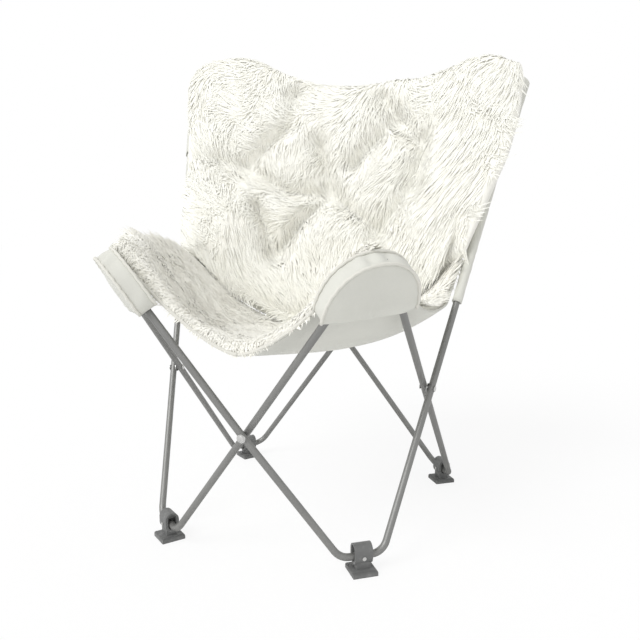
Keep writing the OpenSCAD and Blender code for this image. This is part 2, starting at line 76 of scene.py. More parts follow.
# %% a finish: one material and the nodes in it
class Finish:
    def __init__(self, name, **fixed):
        self.material = bpy.data.materials.new(name)
        self.material.use_nodes = True
        self.tree = self.material.node_tree
        self.shader = self.tree.nodes["Principled BSDF"]
        for socket, value in fixed.items():
            self.shader.inputs[socket.replace("_", " ")].default_value = value
        print("finish", name)

    def node(self, kind, sockets=None, out=0, stops=None, **settings):
        made = self.tree.nodes.new(kind)
        for key, value in settings.items():
            setattr(made, key, value)
        if stops:
            ramp = made.color_ramp
            while len(ramp.elements) < len(stops):
                ramp.elements.new(0.5)
            for element, (place, colour) in zip(ramp.elements, stops):
                element.position, element.color = place, colour
        for key, value in (sockets or {}).items():
            self.feed(made.inputs[key], value)
        return Value(self, made.outputs[out])

    def feed(self, socket, value):
        if isinstance(value, Value):
            self.tree.links.new(value.socket, socket)
        else:
            socket.default_value = value

    def set(self, **varying):
        for socket, value in varying.items():
            self.feed(self.shader.inputs[socket.replace("_", " ")], value)

    def place(self, scale=(1, 1, 1), turn=(0, 0, 0), uv=False):
        at = self.node("ShaderNodeTexCoord", out=2 if uv else 3)
        return self.node("ShaderNodeMapping", {"Vector": at, "Scale": scale, "Rotation": turn})

    def cloud(self, scale, detail=2.0, rough=0.5, at=None, warp=0.0):
        sockets = {"Scale": scale, "Detail": detail, "Roughness": rough, "Distortion": warp}
        sockets["Vector"] = at if at is not None else self.place()
        return self.node("ShaderNodeTexNoise", sockets)

    def between(self, mask, low, high):
        return self.node("ShaderNodeMix", {0: mask, 6: low, 7: high}, out=2, data_type="RGBA")

    def step(self, value, low, high):
        return self.node("ShaderNodeMapRange", {0: value, 1: low, 2: high})

    def bump(self, height, strength, distance):
        return self.node("ShaderNodeBump", {"Height": height, "Strength": strength,
                                            "Distance": distance})


def shade(red, green, blue):
    return (red, green, blue, 1.0)


# %% [markdown]
# ## Painted tubes
# The tubes carry a mid-grey powder coat with a fine hammered grain. It is paint with metal
# flake in it, so it is half metallic and fairly rough, and the grain is a small bump that
# also breaks up the gloss.

# %% the tubes' paint
tube_paint = Finish("tube_paint", Metallic=0.55, IOR=1.5)
grain = tube_paint.cloud(900, 3, 0.6)
drift = tube_paint.cloud(22, 2, 0.5)
tube_paint.set(
    Base_Color=tube_paint.between(drift * 0.6 + grain * 0.4, shade(0.190, 0.190, 0.184),
                                  shade(0.285, 0.285, 0.276)),
    Roughness=0.36 + grain * 0.2,
    Normal=tube_paint.bump(grain, 0.35, 0.0004))

# %% [markdown]
# ## Moulded feet and tip caps
# These are grey nylon: no metal, a satin surface with a faint spark-eroded texture, and
# soft scuffs that are a little paler.

# %% the moulded nylon
nylon = Finish("moulded_nylon", IOR=1.48)
spark = nylon.cloud(1400, 2, 0.6)
scuff = nylon.step(nylon.cloud(70, 4, 0.65), 0.52, 0.72)
nylon.set(
    Base_Color=nylon.between(scuff, shade(0.150, 0.152, 0.150), shade(0.215, 0.217, 0.212)),
    Roughness=0.44 + spark * 0.16,
    Normal=nylon.bump(spark, 0.3, 0.0003))

# %% [markdown]
# ## Plated pins
# Rivets, washers and pins are zinc-plated steel, bright but not polished. Faint turning
# marks come from a noise that is stretched flat.

# %% the plating
plating = Finish("zinc_plating", Metallic=1.0)
marks = plating.cloud(60, 2, 0.5, at=plating.place(scale=(1, 1, 60)))
plating.set(
    Base_Color=plating.between(marks, shade(0.50, 0.50, 0.49), shade(0.66, 0.66, 0.65)),
    Roughness=0.28 + marks * 0.18,
    Normal=plating.bump(marks, 0.2, 0.0002))

# %% [markdown]
# ## Canvas
# The sling's back, its hems and its corner pockets are an off-white cotton canvas. The
# threads are about half a millimetre apart, so the weave is a fine bump from two crossed
# waves, and what the eye sees from a step away is the slightly uneven tone of the cloth.

# %% the canvas
def canvas_finish(name, low, high):
    made = Finish(name, Roughness=0.92, IOR=1.4, Sheen_Weight=0.12, Sheen_Roughness=0.6)
    warp = made.node("ShaderNodeTexWave", {"Vector": made.place(uv=True), "Scale": 260.0,
                                           "Distortion": 0.6, "Detail": 1.0},
                     out=1, bands_direction="X")
    weft = made.node("ShaderNodeTexWave", {"Vector": made.place(uv=True), "Scale": 260.0,
                                           "Distortion": 0.6, "Detail": 1.0},
                     out=1, bands_direction="Y")
    tone = made.cloud(16, 4, 0.6)
    slub = made.cloud(240, 3, 0.7)
    made.set(Base_Color=made.between(tone * 0.7 + slub * 0.3, low, high),
             Normal=made.bump(warp * 0.5 + weft * 0.5 + slub * 0.6, 0.35, 0.0005))
    return made


canvas = canvas_finish("cotton_canvas", shade(0.62, 0.62, 0.57), shade(0.75, 0.75, 0.69))
binding = canvas_finish("binding_tape", shade(0.66, 0.65, 0.59), shade(0.78, 0.77, 0.71))

# %% [markdown]
# ## Pile
# The fur is an ivory acrylic pile. Real hairs would be far too many, so the pad's own
# surface carries the roots, streaked along the nap by a stretched noise, and thin locks
# of mesh laid over it carry the light and the ragged outline.

# %% the pile's roots and its locks
soft_light = dict(Sheen_Weight=0.3, Sheen_Roughness=0.5, IOR=1.3)


def pile_finish(name, root, tip, stretch, depth):
    made = Finish(name, Roughness=0.95, **soft_light)
    nap = made.place(scale=(stretch, 1, 1), uv=True)
    streak = made.cloud(60, 4, 0.65, at=nap, warp=0.9)
    lump = made.cloud(30, 3, 0.55)
    made.set(Base_Color=made.between(made.step(streak * 0.6 + lump * 0.4, 0.34, 0.60), root, tip),
             Normal=made.bump(streak + lump * 0.7, 0.5, depth))
    return made


def lock_finish(name, root, tip):
    made = Finish(name, Roughness=0.9, **soft_light)
    patch = made.cloud(20, 3, 0.6)
    single = made.cloud(420, 1, 0.5)
    made.set(Base_Color=made.between(made.step(patch * 0.6 + single * 0.4, 0.36, 0.6), root, tip))
    return made


root_shades = shade(0.90, 0.885, 0.815), shade(0.98, 0.97, 0.91)
long_roots = pile_finish("long_pile_roots", *root_shades, 5.0, 0.002)
short_roots = pile_finish("short_pile_roots", *root_shades, 3.0, 0.0015)
long_locks = lock_finish("long_pile_locks", shade(0.93, 0.92, 0.85), shade(0.985, 0.98, 0.92))
short_locks = lock_finish("short_pile_locks", shade(0.925, 0.91, 0.84), shade(0.985, 0.975, 0.915))

# %% [markdown]
# ## The rigid pieces
# A rigid piece keeps its exact shape from the frame and only changes its finish, by its
# material slots. The soft solids are replaced further on.

# %% finishes for the rigid pieces
finish_of = {"tube": tube_paint, "foot_pin": plating, "foot": nylon, "rivet": plating,
             "washer": plating, "cap": nylon, "tip_pin": plating}
for name, piece in nodes.items():
    kind = max((k for k in finish_of if name.startswith(k)), key=len, default=None)
    if kind:
        piece.data.materials.clear()
        piece.data.materials.append(finish_of[kind].material)

# %% [markdown]
# ## The sling's surface
# The cloth hangs from four tips, so each station across it is a curve from its lowest
# point in the middle up to its side edge. Eleven stations, given as shares of the chair's
# reach and height, are joined by a smooth spline, as the solids are. In the photo the left
# wing stands up in a full round lobe, so its edge is raised there.

# %% stations across the sling
wing_reach, top_reach, top_half, top_rise = 0.280, 0.262, 0.363, 0.800
stations = np.array([
    [0.061, 0.447, 0.597, 0.035, 0.655, 1.55],
    [0.120, 0.440, 0.645, 0.125, 0.620, 1.70],
    [0.190, 0.433, 0.657, 0.179, 0.583, 1.90],
    [0.340, 0.421, 0.718, 0.330, 0.528, 2.20],
    [0.510, 0.410, 0.758, 0.500, 0.522, 2.40],
    [0.660, 0.403, 0.762, 0.620, 0.545, 2.40],
    [0.800, 0.420, 0.808, 0.672, 0.625, 2.20],
    [0.866, 0.560, 0.867, 0.767, 0.744, 1.90],
    [0.912, 0.730, 0.924, 0.863, 0.869, 1.80],
    [0.950, 0.900, 0.970, 0.949, 1.005, 2.20],
    [0.985, 1.062, 0.985, 0.990, 1.128, 2.60]])
crease, top_row = 6.0, 10.0
lobe_rise = ([0, 0.5, 1, 1.5, 2, 2.5, 3, 3.5, 4, 4.5, 5, 5.5, 5.9],
             [0, 0.015, 0.034, 0.055, 0.076, 0.095, 0.110, 0.116, 0.110, 0.092, 0.064, 0.029, 0])


def sling(u, v):
    at = np.clip(np.floor(v).astype(int), 0, int(top_row) - 1)
    t = (v - at)[..., None]
    a, b = stations[np.maximum(at - 1, 0)], stations[at]
    c, d = stations[at + 1], stations[np.minimum(at + 2, int(top_row))]
    s = b + t * ((c - a) / 2 + t * (a - 2.5 * b + 2 * c - d / 2 + t * ((3 * b - a - 3 * c + d) / 2)))
    k = np.abs(u) ** s[..., 5]
    lobe = np.interp(v, *lobe_rise) * np.clip((-u - 0.45) / 0.55, 0, 1) ** 1.4
    return np.stack([u * s[..., 2] * top_half - lobe * 0.1,
                     (s[..., 0] + (s[..., 3] - s[..., 0]) * k) * (wing_reach + top_reach) - wing_reach,
                     (s[..., 1] + (s[..., 4] - s[..., 1]) * k) * top_rise + lobe], -1)


def unit(v):
    return v / np.maximum(np.linalg.norm(v, axis=-1, keepdims=True), 1e-12)


def normal_of(surface, u, v, probe=0.02):
    return unit(np.cross(surface(u + probe, v) - surface(u - probe, v),
                         surface(u, v + probe) - surface(u, v - probe)))


def lifted(u, v, height):
    return sling(u, v) + normal_of(sling, u, v) * np.asarray(height)[..., None]


print("front edge's lowest point", sling(np.array(0.0), np.array(0.0)).round(3))

# %% [markdown]
# ## Meshes from grids
# Each soft piece is a closed skin over a grid: an upper and a lower set of points, row by
# row, joined round the rim. The grid's own coordinates, in metres, become its UV map, so
# that the weave and the nap keep their direction.

# %% grid skins
def make_piece(name, points, faces, finish, smooth=True):
    mesh = bpy.data.meshes.new(name)
    mesh.from_pydata([tuple(p) for p in np.asarray(points, float)], [], [tuple(f) for f in faces])
    mesh.validate()
    mesh.materials.append(finish.material)
    mesh.polygons.foreach_set("use_smooth", [smooth] * len(mesh.polygons))
    piece = bpy.data.objects.new(name, mesh)
    bpy.context.scene.collection.objects.link(piece)
    print(name, len(mesh.polygons), "faces")
    return piece


def write_uv(piece, flat):
    layer = piece.data.uv_layers.new(name="cloth")
    corners = np.empty(len(piece.data.loops), int)
    piece.data.loops.foreach_get("vertex_index", corners)
    layer.data.foreach_set("uv", np.asarray(flat, np.float32)[corners].ravel())


def skin(name, lower, upper, finish, flat=None):
    rows, cols = lower.shape[:2]
    index = np.arange(rows * cols).reshape(rows, cols)
    a, b, c, d = index[:-1, :-1], index[:-1, 1:], index[1:, 1:], index[1:, :-1]
    under = np.stack([a, d, c, b], -1).reshape(-1, 4)
    over = np.stack([a, b, c, d], -1).reshape(-1, 4) + rows * cols
    rim = np.concatenate([index[0, :], index[1:, -1], index[-1, -2::-1], index[-2:0:-1, 0]])
    follow = np.roll(rim, -1)
    wall = np.stack([rim, follow, follow + rows * cols, rim + rows * cols], -1)
    piece = make_piece(name, np.concatenate([lower.reshape(-1, 3), upper.reshape(-1, 3)]),
                       np.concatenate([under, over, wall]), finish)
    if flat is not None:
        write_uv(piece, np.concatenate([flat.reshape(-1, 2)] * 2))
    return piece


def lattice(u0, u1, v0, v1, cols, rows, ease=0.0):
    def spaced(count):
        t = np.linspace(0, 1, count + 1)
        return t * (1 - ease) + ease * (1 - np.cos(pi * t)) / 2
    return np.meshgrid(u0 + (u1 - u0) * spaced(cols), v0 + (v1 - v0) * spaced(rows))


def ripple(points, scale, seed):
    flat = np.asarray(points).reshape(-1, 3) * scale + seed * 17.3
    return np.array([noise.noise(Vector(p)) for p in flat]).reshape(points.shape[:-1])


# %% [markdown]
# ## The back's own outline
# Seen from the front, the back has two rounded ears with a dip between them, and the fur
# on the right rolls over the edge. The sling's rows are plain, so the outline comes from a
# slide along the cloth: up or down at the top by a small table, and out at the sides.

# %% the outline of the back
top_slide = np.array([[-1.0, -0.030], [-0.95, 0.008], [-0.88, 0.037], [-0.74, 0.053], [-0.60, 0.063],
                      [-0.46, 0.050], [-0.34, 0.032], [-0.22, 0.017], [-0.10, 0.0], [0.15, -0.009],
                      [0.32, -0.003], [0.50, -0.011], [0.64, -0.007], [0.76, 0.005], [0.86, 0.0],
                      [0.94, -0.022], [1.0, -0.056]])
right_roll = np.array([[0.0, 0.016], [0.15, 0.032], [0.40, 0.042], [0.65, 0.038], [0.85, 0.028],
                       [1.0, 0.018]])
left_roll = 0.003


def back_v(w):
    return crease + gap + (top_row - crease - gap) * w


def tabled(table, at):
    steps = (-0.04, 0.0, 0.04)
    return sum(np.interp(at + step, table[:, 0], table[:, 1]) for step in steps) / len(steps)


def back_ground(u, w, roll=1.0, lower=0.0):
    v = back_v(w)
    place = sling(u, v)
    across = unit(sling(u + 0.01, v) - sling(u - 0.01, v))
    upward = unit(sling(u, v) - sling(u, v - 0.05))
    rise = (tabled(top_slide, u) - lower) * np.clip(w, 0, 1) ** 6
    out = np.where(u > 0, np.interp(w, right_roll[:, 0], right_roll[:, 1]) * roll, left_roll)
    return place + upward * rise[..., None] + across * (out * np.sign(u) * np.abs(u) ** 8)[..., None]


# %% [markdown]
# ## The sling's canvas
# The canvas is a thin cloth that lies under both pads. It was cut flat, sewn to the
# pockets at its corners, and hangs with a few slack folds, which a slow ripple gives. Its
# UV map is read off its own grid, along the threads.

# %% canvas of the seat and of the back
canvas_t, seam, gap = 0.0022, 0.0006, 0.06


def sling_cloth(name, node, ground, turned, flat, rests_on):
    slack = ripple(ground, 9.0, 1) * 0.0012 + ripple(ground * [1, 3, 1], 26.0, 2) * 0.0005
    under = ground + turned * (slack - 0.0012)[..., None]
    piece = skin(name, under, ground + turned * canvas_t, canvas, flat)
    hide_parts(node)
    return piece


seat_canvas = {}
for side, (u0, u1) in (("right", (seam, 1.0)), ("left", (-1.0, -seam))):
    u, v = lattice(u0, u1, 0, crease - gap, 40, 72)
    seat_canvas[side] = sling_cloth("seat_cloth_" + side, "seat_canvas_" + side, sling(u, v),
                                    normal_of(sling, u, v), np.stack([u * 0.3, v * 0.09], -1),
                                    ["cap_front_" + side])
u, w = lattice(-1, 1, 0, 1, 72, 56)
back_canvas = sling_cloth("back_cloth", "back_canvas", back_ground(u, w, 0.15, 0.008),
                          normal_of(sling, u, back_v(w)), np.stack([u * 0.33, w * 0.5], -1),
                          ["cap_back_right", "cap_back_left"])

# %% [markdown]
# ## The back pad
# The long-haired pad is a quilt about 50 mm thick, pulled down at seven tufts, with soft
# valleys that run from tuft to tuft. Its height over the sling is a crown that drops at
# the rim, less a round pit at each tuft and a trough along each valley, so that full
# pillows are left between them.

# %% tufts and valleys as shares across and up the back
tufts = [(-0.25, 0.93), (0.39, 0.80), (-0.575, 0.585), (0.0, 0.545), (0.54, 0.50),
         (0.34, 0.37), (-0.37, 0.275)]
valleys = [[(-0.2, 0.985), (-0.25, 0.93), (-0.26, 0.82), (-0.42, 0.73), (-0.575, 0.585)],
           [(-0.92, 0.54), (-0.575, 0.585), (-0.3, 0.54), (0.0, 0.545), (-0.07, 0.74)],
           [(0.29, 0.90), (0.39, 0.80)], [(0.30, 0.76), (0.15, 0.65)],
           [(0.57, 0.70), (0.54, 0.50), (0.34, 0.37)],
           [(0.0, 0.545), (-0.155, 0.45), (-0.37, 0.275), (-0.50, 0.44)],
           [(0.0, 0.545), (0.34, 0.37)], [(0.39, 0.80), (0.54, 0.68)]]
pad_base, pad_edge, back_t = 0.0025, 0.003, 0.053


tuft_points = np.array([sling(np.array(u), np.array(back_v(w))) for u, w in tufts])
valley_points = [np.array([sling(np.array(u), np.array(back_v(w))) for u, w in line])
                 for line in valleys]


def near_line(points, line):
    nearest = np.full(points.shape[:-1], 9.0)
    for a, b in zip(line[:-1], line[1:]):
        t = np.clip(((points - a) @ (b - a)) / ((b - a) @ (b - a)), 0, 1)
        nearest = np.minimum(nearest, np.linalg.norm(points - a - t[..., None] * (b - a), axis=-1))
    return nearest


def crown(t, power):
    return np.maximum(0, 1 - np.abs(2 * np.clip(t, 0, 1) - 1) ** power) ** 0.5


def rim_of(u, power):
    return np.maximum(0, 1 - np.abs(np.clip(u, -1, 1)) ** power) ** 0.5


def back_height(u, w):
    ground = back_ground(u, w)
    full = rim_of(u, 7) * crown(w, 7)
    pull, trough = np.zeros(full.shape), np.zeros(full.shape)
    for tuft in tuft_points:
        away = np.linalg.norm(ground - tuft, axis=-1)
        pull = np.maximum(pull, 0.65 * np.exp(-(away / 0.022) ** 2) + 0.35 * np.exp(-(away / 0.060) ** 2))
    for line in valley_points:
        trough = np.maximum(trough, np.exp(-(near_line(ground, line) / 0.019) ** 1.6))
    x, z = ground[..., 0], ground[..., 2]
    swell = np.sin(x * 23 + z * 9) * np.sin(z * 27 - x * 8 + 2)
    drop = 0.046 * pull + 0.033 * trough * (1 - pull)
    return pad_base + pad_edge + full * (back_t - pad_edge + 0.004 * swell - drop)


def back_top(u, w):
    return back_ground(u, w) + normal_of(sling, u, back_v(w)) * back_height(u, w)[..., None]


# %% the pad itself
u, w = lattice(-0.995, 0.995, 0, 1, 150, 112, ease=0.35)
back_under = back_ground(u, w) + normal_of(sling, u, back_v(w)) * pad_base
back_over = back_top(u, w)
back_normal = unit(np.cross(np.gradient(back_over, axis=1), np.gradient(back_over, axis=0)))
tangle = ripple(back_over, 30.0, 3) * 0.0030 + ripple(back_over, 90.0, 4) * 0.0010
back_over = back_over + back_normal * (tangle * rim_of(u, 7) * crown(w, 7))[..., None]
back_pad = skin("back_pad_fur", back_under, back_over, long_roots,
                np.stack([u * 0.33, w * 0.55], -1))
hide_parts("back_pad")

# %% [markdown]
# ## The seat pad
# The seat has the same backing with a short, matted pile. It is made in two halves that
# meet on the middle line, because the sling folds up like a book, and the two halves
# share their edge so that no seam shows when the chair is open.

# %% seat halves
seat_t, wing_t = 0.021, 0.024


def seat_height(u, v):
    full = rim_of(u, 9) * crown(v / crease, 8)
    wing = np.clip((np.abs(u) - 0.45) / 0.5, 0, 1) ** 1.5 * np.clip((3.4 - v) / 2.2, 0, 1)
    swell = 0.003 * np.sin(u * 4.3 + 0.6) * np.sin(v * 1.1)
    return pad_base + pad_edge + (seat_t - pad_edge + swell + wing_t * wing) * full


def seat_top(u, v):
    return lifted(u, v, seat_height(u, v))


seat_widths = {"right": (0.0, 0.985), "left": (-0.985, 0.0)}


def seat_half(side):
    u, v = lattice(*seat_widths[side], 0, crease - gap, 76, 104, ease=0.2)
    over = seat_top(u, v)
    tangle = ripple(over, 30.0, 5) * 0.0020 + ripple(over, 90.0, 6) * 0.0007
    over = over + normal_of(seat_top, u, v) * (tangle * crown(v / crease, 8) * rim_of(u, 11))[..., None]
    piece = skin("seat_pad_fur_" + side, lifted(u, v, np.full(u.shape, pad_base)), over, short_roots,
                 np.stack([u * 0.28, v * 0.09], -1))
    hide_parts("seat_pad_" + side)
    return piece


seat_pad = {side: seat_half(side) for side in ("right", "left")}

# %% [markdown]
# ## Locks of hair
# A lock is a thin spindle of three sides that starts in the pad, rises and lies down along
# the nap. Each one follows the pad's surface in three short steps, so it bends over the
# quilting instead of cutting through it. A slow noise turns the nap from place to place,
# and near a tuft the hair is drawn towards the stitch.

# %% growing locks over a surface
# Each corner's shading leans mostly the way the pad does, as fine hair catches light as a
# whole and not strand by strand. The faces on a lock's under side lean the other way, so
# that hair seen from behind the pad stays pale too.
rows_of_lock = np.array([0.75, 1.0, 0.72])
under_side = [1, 2, 7, 8, 13]


def share_along(way, run):
    return np.sum(way * unit(run), -1) / np.maximum(np.linalg.norm(run, axis=-1), 1e-6)


def locks(name, surface, spots, length, width, lift, heading, finish, rng, stray=0.35):
    u, v = spots[:, 0].copy(), spots[:, 1].copy()
    count = len(u)
    span = length * rng.uniform(0.65, 1.25, count)
    broad = width * rng.uniform(0.6, 1.3, count)
    high = lift * rng.uniform(0.3, 1.5, count)
    centres, sides, ups = [], [], []
    probe_u = 0.004
    probe_v = probe_u * heading.v_scale
    for step in range(4):
        cu, cv = np.clip(u, *heading.u_range), np.clip(v, *heading.v_range)
        along_u = (surface(cu + probe_u, cv) - surface(cu - probe_u, cv)) / (2 * probe_u)
        along_v = (surface(cu, cv + probe_v) - surface(cu, cv - probe_v)) / (2 * probe_v)
        out = unit(np.cross(along_u, along_v))
        at = surface(cu, cv) + along_u * (u - cu)[:, None] + along_v * (v - cv)[:, None]
        if step == 0:
            way = heading(at, unit(along_u), unit(along_v), rng, stray)
            rise = np.full(count, -0.0015)
        else:
            rise = high * (0.55, 1.0, 1.25)[step - 1]
        way = unit(way - out * np.sum(way * out, -1, keepdims=True))
        centres.append(at + out * rise[:, None])
        sides.append(np.cross(out, way))
        ups.append(out)
        u = u + span / 3 * share_along(way, along_u)
        v = v + span / 3 * share_along(way, along_v)
    points = np.empty((count, 10, 3))
    for ring in range(3):
        half = (broad * rows_of_lock[ring] / 2)[:, None]
        points[:, ring * 3] = centres[ring] - sides[ring] * half
        points[:, ring * 3 + 1] = centres[ring] + sides[ring] * half
        points[:, ring * 3 + 2] = centres[ring] + ups[ring] * half * 0.5
    points[:, 9] = centres[3]
    leans = np.empty((count, 10, 3))
    for ring in range(3):
        leans[:, ring * 3] = unit(ups[ring] * 1.6 - sides[ring])
        leans[:, ring * 3 + 1] = unit(ups[ring] * 1.6 + sides[ring])
        leans[:, ring * 3 + 2] = ups[ring]
    leans[:, 9] = ups[3]
    one = [(0, 2, 1)]
    for ring in (0, 3):
        for a, b in ((0, 1), (1, 2), (2, 0)):
            one.append((ring + a, ring + b, ring + b + 3))
            one.append((ring + a, ring + b + 3, ring + a + 3))
    one += [(6, 7, 9), (7, 8, 9), (8, 6, 9)]
    one = np.array(one)
    faces = (one[None] + (np.arange(count) * 10)[:, None, None]).reshape(-1, 3)
    piece = make_piece(name, points.reshape(-1, 3), faces, finish)
    corners = leans[:, one]
    corners[:, under_side] = -np.stack(ups, 1)[:, one[under_side] // 3]
    piece.data.normals_split_custom_set(corners.reshape(-1, 3))
    return piece


# %% where locks start, and which way they lie
def spots_on(surface, u_range, v_range, count, rng, fine=160):
    u, v = np.meshgrid(np.linspace(*u_range, fine), np.linspace(*v_range, fine))
    at = surface(u, v)
    cell = np.linalg.norm(np.cross(at[1:, :-1] - at[:-1, :-1], at[:-1, 1:] - at[:-1, :-1]), axis=-1)
    pick = rng.choice(cell.size, count, p=cell.ravel() / cell.sum())
    row, col = np.divmod(pick, fine - 1)
    grow = rng.random((2, count))
    return np.stack([u[0, 0] + (col + grow[0]) * (u[0, 1] - u[0, 0]),
                     v[0, 0] + (row + grow[1]) * (v[1, 0] - v[0, 0])], -1)


class Nap:
    def __init__(self, u_range, v_range, v_scale, fall, spread, draw, seed):
        self.u_range, self.v_range, self.v_scale = u_range, v_range, v_scale
        self.fall, self.spread, self.draw, self.seed = fall, spread, draw, seed

    def __call__(self, at, across, upward, rng, stray):
        turn = ripple(at, 5.5, self.seed) * 2.6 + ripple(at, 17.0, self.seed + 1) * 1.5
        turn = turn + rng.normal(0, stray, len(at))
        outward = at[:, :1] * self.spread
        way = upward * self.fall + across * outward
        side = np.cross(np.cross(across, upward), way)
        way = way * np.cos(turn)[:, None] + side * np.sin(turn)[:, None]
        if self.draw:
            for tuft in tuft_points:
                to = tuft - at
                away = np.linalg.norm(to, axis=-1, keepdims=True)
                way = way + unit(to) * self.draw * np.exp(-(away / 0.05) ** 2)
        return way


# %% the long pile of the back
rng = np.random.default_rng(7)
back_count, seat_count, rim_count = 9000, 5200, 1500
back_nap = Nap((-0.99, 0.99), (0.0, 1.0), v_scale=1.0, fall=-1.0, spread=1.6, draw=1.2, seed=11)
back_locks = [locks("back_long_pile_" + word, back_top,
                    spots_on(back_top, u_range, (0, 1), back_count, rng),
                    length=0.038, width=0.0035, lift=0.0026, heading=back_nap, finish=long_locks,
                    rng=rng, stray=0.26)
              for word, u_range in (("left", (-0.99, 0.06)), ("right", (-0.06, 0.99)))]

# %% [markdown]
# ## A fringe over the crease
# The back's lowest hair hangs over the crease, so that the pad ends in a soft line and not
# at a hem. These locks start low on the back and lie on a surface that floats above the seat.

# %% the fringe over the crease
def fringe_top(u, w):
    return back_ground(u, w) + normal_of(sling, u, back_v(w)) * (0.033 + 0.10 * w)[..., None]


fringe_width, fringe_count = (-0.97, 0.97), 3600
fringe_nap = Nap(fringe_width, (-0.14, 0.07), v_scale=1.0, fall=-1.0, spread=1.1, draw=0.0, seed=41)
fringe_locks = locks("back_fringe", fringe_top,
                     spots_on(fringe_top, fringe_width, (0.0, 0.07), fringe_count, rng),
                     length=0.044, width=0.0028, lift=0.0040, heading=fringe_nap, finish=long_locks,
                     rng=rng)

# %% the short pile of the seat
seat_locks = {}
for side, width in seat_widths.items():
    seat_nap = Nap(width, (0.0, crease - gap), v_scale=6.0, fall=-1.0, spread=1.2, draw=0.0, seed=21)
    seat_locks[side] = locks("seat_short_pile_" + side, seat_top,
                             spots_on(seat_top, width, (0, crease - gap), seat_count, rng),
                             length=0.018, width=0.0032, lift=0.0012, heading=seat_nap,
                             finish=short_locks, rng=rng)

# %% [markdown]
# ## Hair over the seat's edges
# On the real cover the pile is sewn in right up to the piping and the side hems, so its
# hair hangs over both edges. A second sowing of locks along the rims points outward there.

# %% the rims' hair
rim_locks = {}
for side, hem in (("right", (0.86, 0.98)), ("left", (-0.98, -0.86))):
    front_nap = Nap(seat_widths[side], (0.02, 0.5), v_scale=6.0, fall=-1.0, spread=0.8, draw=0.0, seed=51)
    side_nap = Nap(seat_widths[side], (0.3, crease - gap), v_scale=6.0, fall=-0.7, spread=9.0, draw=0.0,
                   seed=61)
    rim_locks[side] = [
        locks("seat_front_rim_" + side, seat_top,
              spots_on(seat_top, seat_widths[side], (0.03, 0.42), rim_count, rng),
              length=0.014, width=0.0026, lift=0.0030, heading=front_nap, finish=short_locks, rng=rng,
              stray=0.6),
        locks("seat_side_rim_" + side, seat_top,
              spots_on(seat_top, hem, (0.3, crease - gap), rim_count, rng),
              length=0.026, width=0.0030, lift=0.0022, heading=side_nap, finish=short_locks, rng=rng,
              stray=0.4)]

# %% [markdown]
# ## Tips and pockets
# A pocket of plain canvas is sewn over each tip. Its place follows from the two tubes that
# meet there: down the middle of their vee, across it, and square to both.

# %% where the tubes meet
front_half, front_reach, back_half, back_reach, meet_drop = 0.197, 0.189, 0.260, 0.295, 0.034
wing_half, wing_rise, half_pitch = 0.234, 0.534, 0.0068


def meet(side, back):
    return np.array([side * back_half, back_reach, -meet_drop] if back
                    else [side * front_half, -front_reach, -meet_drop])


def tip(side, back):
    return np.array([side * top_half, top_reach, top_rise] if back
                    else [side * wing_half, -wing_reach, wing_rise])


def ends_of(tube):
    side, back, across = tube
    return meet(side, back), tip(-side, back) if across else tip(side, 1 - back)


def cross_point(tube):
    side, back, across = tube
    partner = (-side, back, 1) if across else (side, 1 - back, 0)
    (a, b), (c, d) = ends_of(tube), ends_of(partner)
    s, t = np.linalg.lstsq(np.stack([b - a, c - d], -1), c - a, rcond=None)[0]
    middle = (a + (b - a) * s + c + (d - c) * t) / 2
    axis = unit(np.cross(b - a, d - c))
    away = np.array([0, 1 if back else -1, 0]) if across else np.array([side, 0, 0])
    axis = axis * np.sign(axis @ away)
    outer = (side < 0 if back else side > 0) if across else back == 0
    return middle + axis * half_pitch * (1 if outer else -1)


def cap_axes(side, back):
    at = tip(side, back)
    own = unit(cross_point((side, 1 - back, 0)) - at)
    loose = unit(cross_point((-side, back, 1)) - at)
    z = unit(np.cross(own, loose))
    x = unit(own + loose)
    return at, x, np.cross(z, x), z, own


print("front right tip looks along", cap_axes(1, 0)[3].round(2))

# %% [markdown]
# ## Front pockets
# The front pocket is the rounded panel that faces the viewer. Between its face and the fur
# runs a narrow band, with a piping along each edge. The face is filled out a little, as
# cloth is over a cap, and the band is puckered where it turns.

# %% dome outline and its fill
def dome(top, half, tall, power, count=56):
    a = radians(1) * np.linspace(-90, 90, count + 1)
    return np.stack([top + tall - tall * np.abs(np.cos(a)) ** (2 / power),
                     half * np.sign(np.sin(a)) * np.abs(np.sin(a)) ** (2 / power)], -1)


pocket_t, pocket_l, pocket_half, pocket_top = 0.0298, 0.092, 0.0766, 0.0298


def cord_along(name, path, radius, finish, sides=8):
    path = np.asarray(path)
    run = unit(np.gradient(path, axis=0))
    first = unit(np.cross(run, [0.13, 0.2, 0.97]))
    second = np.cross(run, first)
    angle = np.linspace(0, 2 * pi, sides, endpoint=False)
    rings = (path[:, None] + radius * (first[:, None] * np.cos(angle)[None, :, None]
                                       + second[:, None] * np.sin(angle)[None, :, None]))
    index = np.arange(len(path) * sides).reshape(len(path), sides)
    a, b = index[:-1], index[1:]
    quads = np.stack([a, b, np.roll(b, -1, 1), np.roll(a, -1, 1)], -1).reshape(-1, 4)
    piece = make_piece(name, rings.reshape(-1, 3),
                       [tuple(q) for q in quads] + [tuple(index[0]), tuple(index[-1][::-1])], finish)
    return piece


